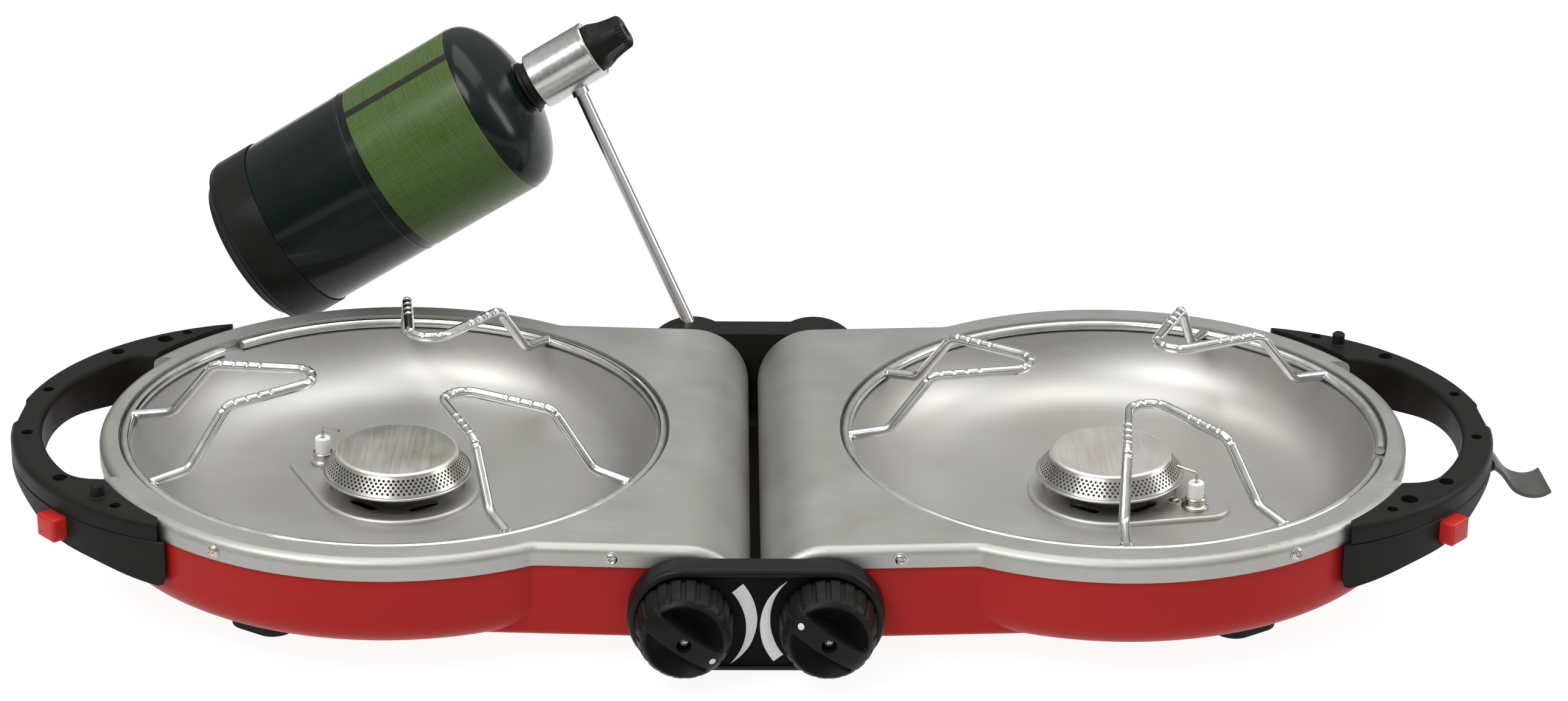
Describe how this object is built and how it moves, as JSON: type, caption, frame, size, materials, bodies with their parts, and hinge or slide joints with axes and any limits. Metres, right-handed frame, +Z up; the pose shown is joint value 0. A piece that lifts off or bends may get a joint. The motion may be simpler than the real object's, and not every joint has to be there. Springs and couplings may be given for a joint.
{
  "type": "camp stove",
  "caption": "Folding camp stove: round burner bowls with wire pan supports in hinged halves, a central knob panel, loop handles and a slanted gas cylinder.",
  "frame": {"origin": "on the floor, under the middle of the hinge, in line with the burner centres", "axes": "+X to the right-hand burner, +Y to the back where the gas cylinder is, +Z up"},
  "size_m": [0.7792, 0.4258, 0.217],
  "materials": {
    "stainless_top": "matte",
    "bowl_steel": "satin",
    "red_paint": "satin",
    "burner_steel": "satin",
    "ceramic": "glazed",
    "wire_steel": "bright",
    "chrome_wire": "polished",
    "black_plastic": "satin",
    "face_black": "smooth",
    "red_button": "gloss",
    "dark_part": "plain",
    "rubber": "matte",
    "brass": "turned",
    "pipe_steel": "bright",
    "regulator_aluminium": "polished",
    "cylinder_green": "gloss",
    "band_green": "printed"
  },
  "bodies": {
    "base": {"front_panel": "black_plastic", "face_plate": "face_black", "rear_block": "black_plastic", "base_beam": "black_plastic", "manifold_tube": "brass", "valve_left": "brass", "valve_right": "brass", "supply_pipe": "pipe_steel", "regulator": "regulator_aluminium", "regulator_cap": "black_plastic"},
    "half_left": {"bowl_left": "bowl_steel", "burner_base_left": "bowl_steel", "burner_cap_left": "burner_steel", "burner_cup_left": "burner_steel", "burner_screen_left": "burner_steel", "cover_left": "stainless_top", "electrode_clip_left": "wire_steel", "electrode_left": "ceramic", "electrode_wire_left": "wire_steel", "foot_back_left": "rubber", "foot_front_left": "rubber", "handle_lower_left": "black_plastic", "handle_upper_left": "black_plastic", "mixer_tube_left": "burner_steel", "piezo_unit_left": "dark_part", "shell_left": "red_paint", "skirt_screws_left": "wire_steel"},
    "half_right": {"bowl_right": "bowl_steel", "burner_base_right": "bowl_steel", "burner_cap_right": "burner_steel", "burner_cup_right": "burner_steel", "burner_screen_right": "burner_steel", "cover_right": "stainless_top", "electrode_clip_right": "wire_steel", "electrode_right": "ceramic", "electrode_wire_right": "wire_steel", "foot_back_right": "rubber", "foot_front_right": "rubber", "handle_lower_right": "black_plastic", "handle_upper_right": "black_plastic", "mixer_tube_right": "burner_steel", "piezo_unit_right": "dark_part", "shell_right": "red_paint", "skirt_screws_right": "wire_steel", "latch_pin": "wire_steel"},
    "knob_left": {"knob_left": "black_plastic"},
    "knob_right": {"knob_right": "black_plastic"},
    "button_left": {"igniter_button_left": "red_button"},
    "button_right": {"igniter_button_right": "red_button"},
    "grate_left": {"grate_left": "chrome_wire"},
    "grate_right": {"grate_right": "chrome_wire"},
    "latch": {"latch": "black_plastic"},
    "gas_cylinder": {"cylinder": "cylinder_green", "cylinder_valve": "brass", "cylinder_band": "band_green", "cylinder_foot": "black_plastic"}
  },
  "joints": [
    {"name": "fold_left", "type": "hinge", "parent": "base", "child": "half_left", "pos_m": [-0.0335, 0, 0.032], "axis": [0, 1, 0], "range_deg": [0, 88.5]},
    {"name": "knob_turn_left", "type": "hinge", "parent": "base", "child": "knob_left", "pos_m": [-0.0335, -0.158, 0.032], "axis": [0, -1, 0], "range_deg": [0, 150]},
    {"name": "igniter_push_left", "type": "slide", "parent": "half_left", "child": "button_left", "axis": [0.6948, 0.719, -0.0182], "range_m": [0, 0.003], "stiffness_N_per_m": 900},
    {"name": "grate_lift_left", "type": "slide", "parent": "half_left", "child": "grate_left", "axis": [0.0262, 0, 0.9997], "range_m": [0, 0.085]},
    {"name": "fold_right", "type": "hinge", "parent": "base", "child": "half_right", "pos_m": [0.0335, 0, 0.032], "axis": [0, -1, 0], "range_deg": [0, 88.5]},
    {"name": "knob_turn_right", "type": "hinge", "parent": "base", "child": "knob_right", "pos_m": [0.0335, -0.158, 0.032], "axis": [0, -1, 0], "range_deg": [0, 150]},
    {"name": "igniter_push_right", "type": "slide", "parent": "half_right", "child": "button_right", "axis": [-0.6948, 0.719, -0.0182], "range_m": [0, 0.003], "stiffness_N_per_m": 900},
    {"name": "grate_lift_right", "type": "slide", "parent": "half_right", "child": "grate_right", "axis": [-0.0262, 0, 0.9997], "range_m": [0, 0.085]},
    {"name": "latch_swing", "type": "hinge", "parent": "half_right", "child": "latch", "pos_m": [0.37163, 0.002, 0.05036], "axis": [0, -1, 0], "range_deg": [0, 120]},
    {"name": "cylinder_unscrew", "type": "slide", "parent": "base", "child": "gas_cylinder", "axis": [-0.8526, 0, -0.5225], "range_m": [0, 0.05]}
  ]
}
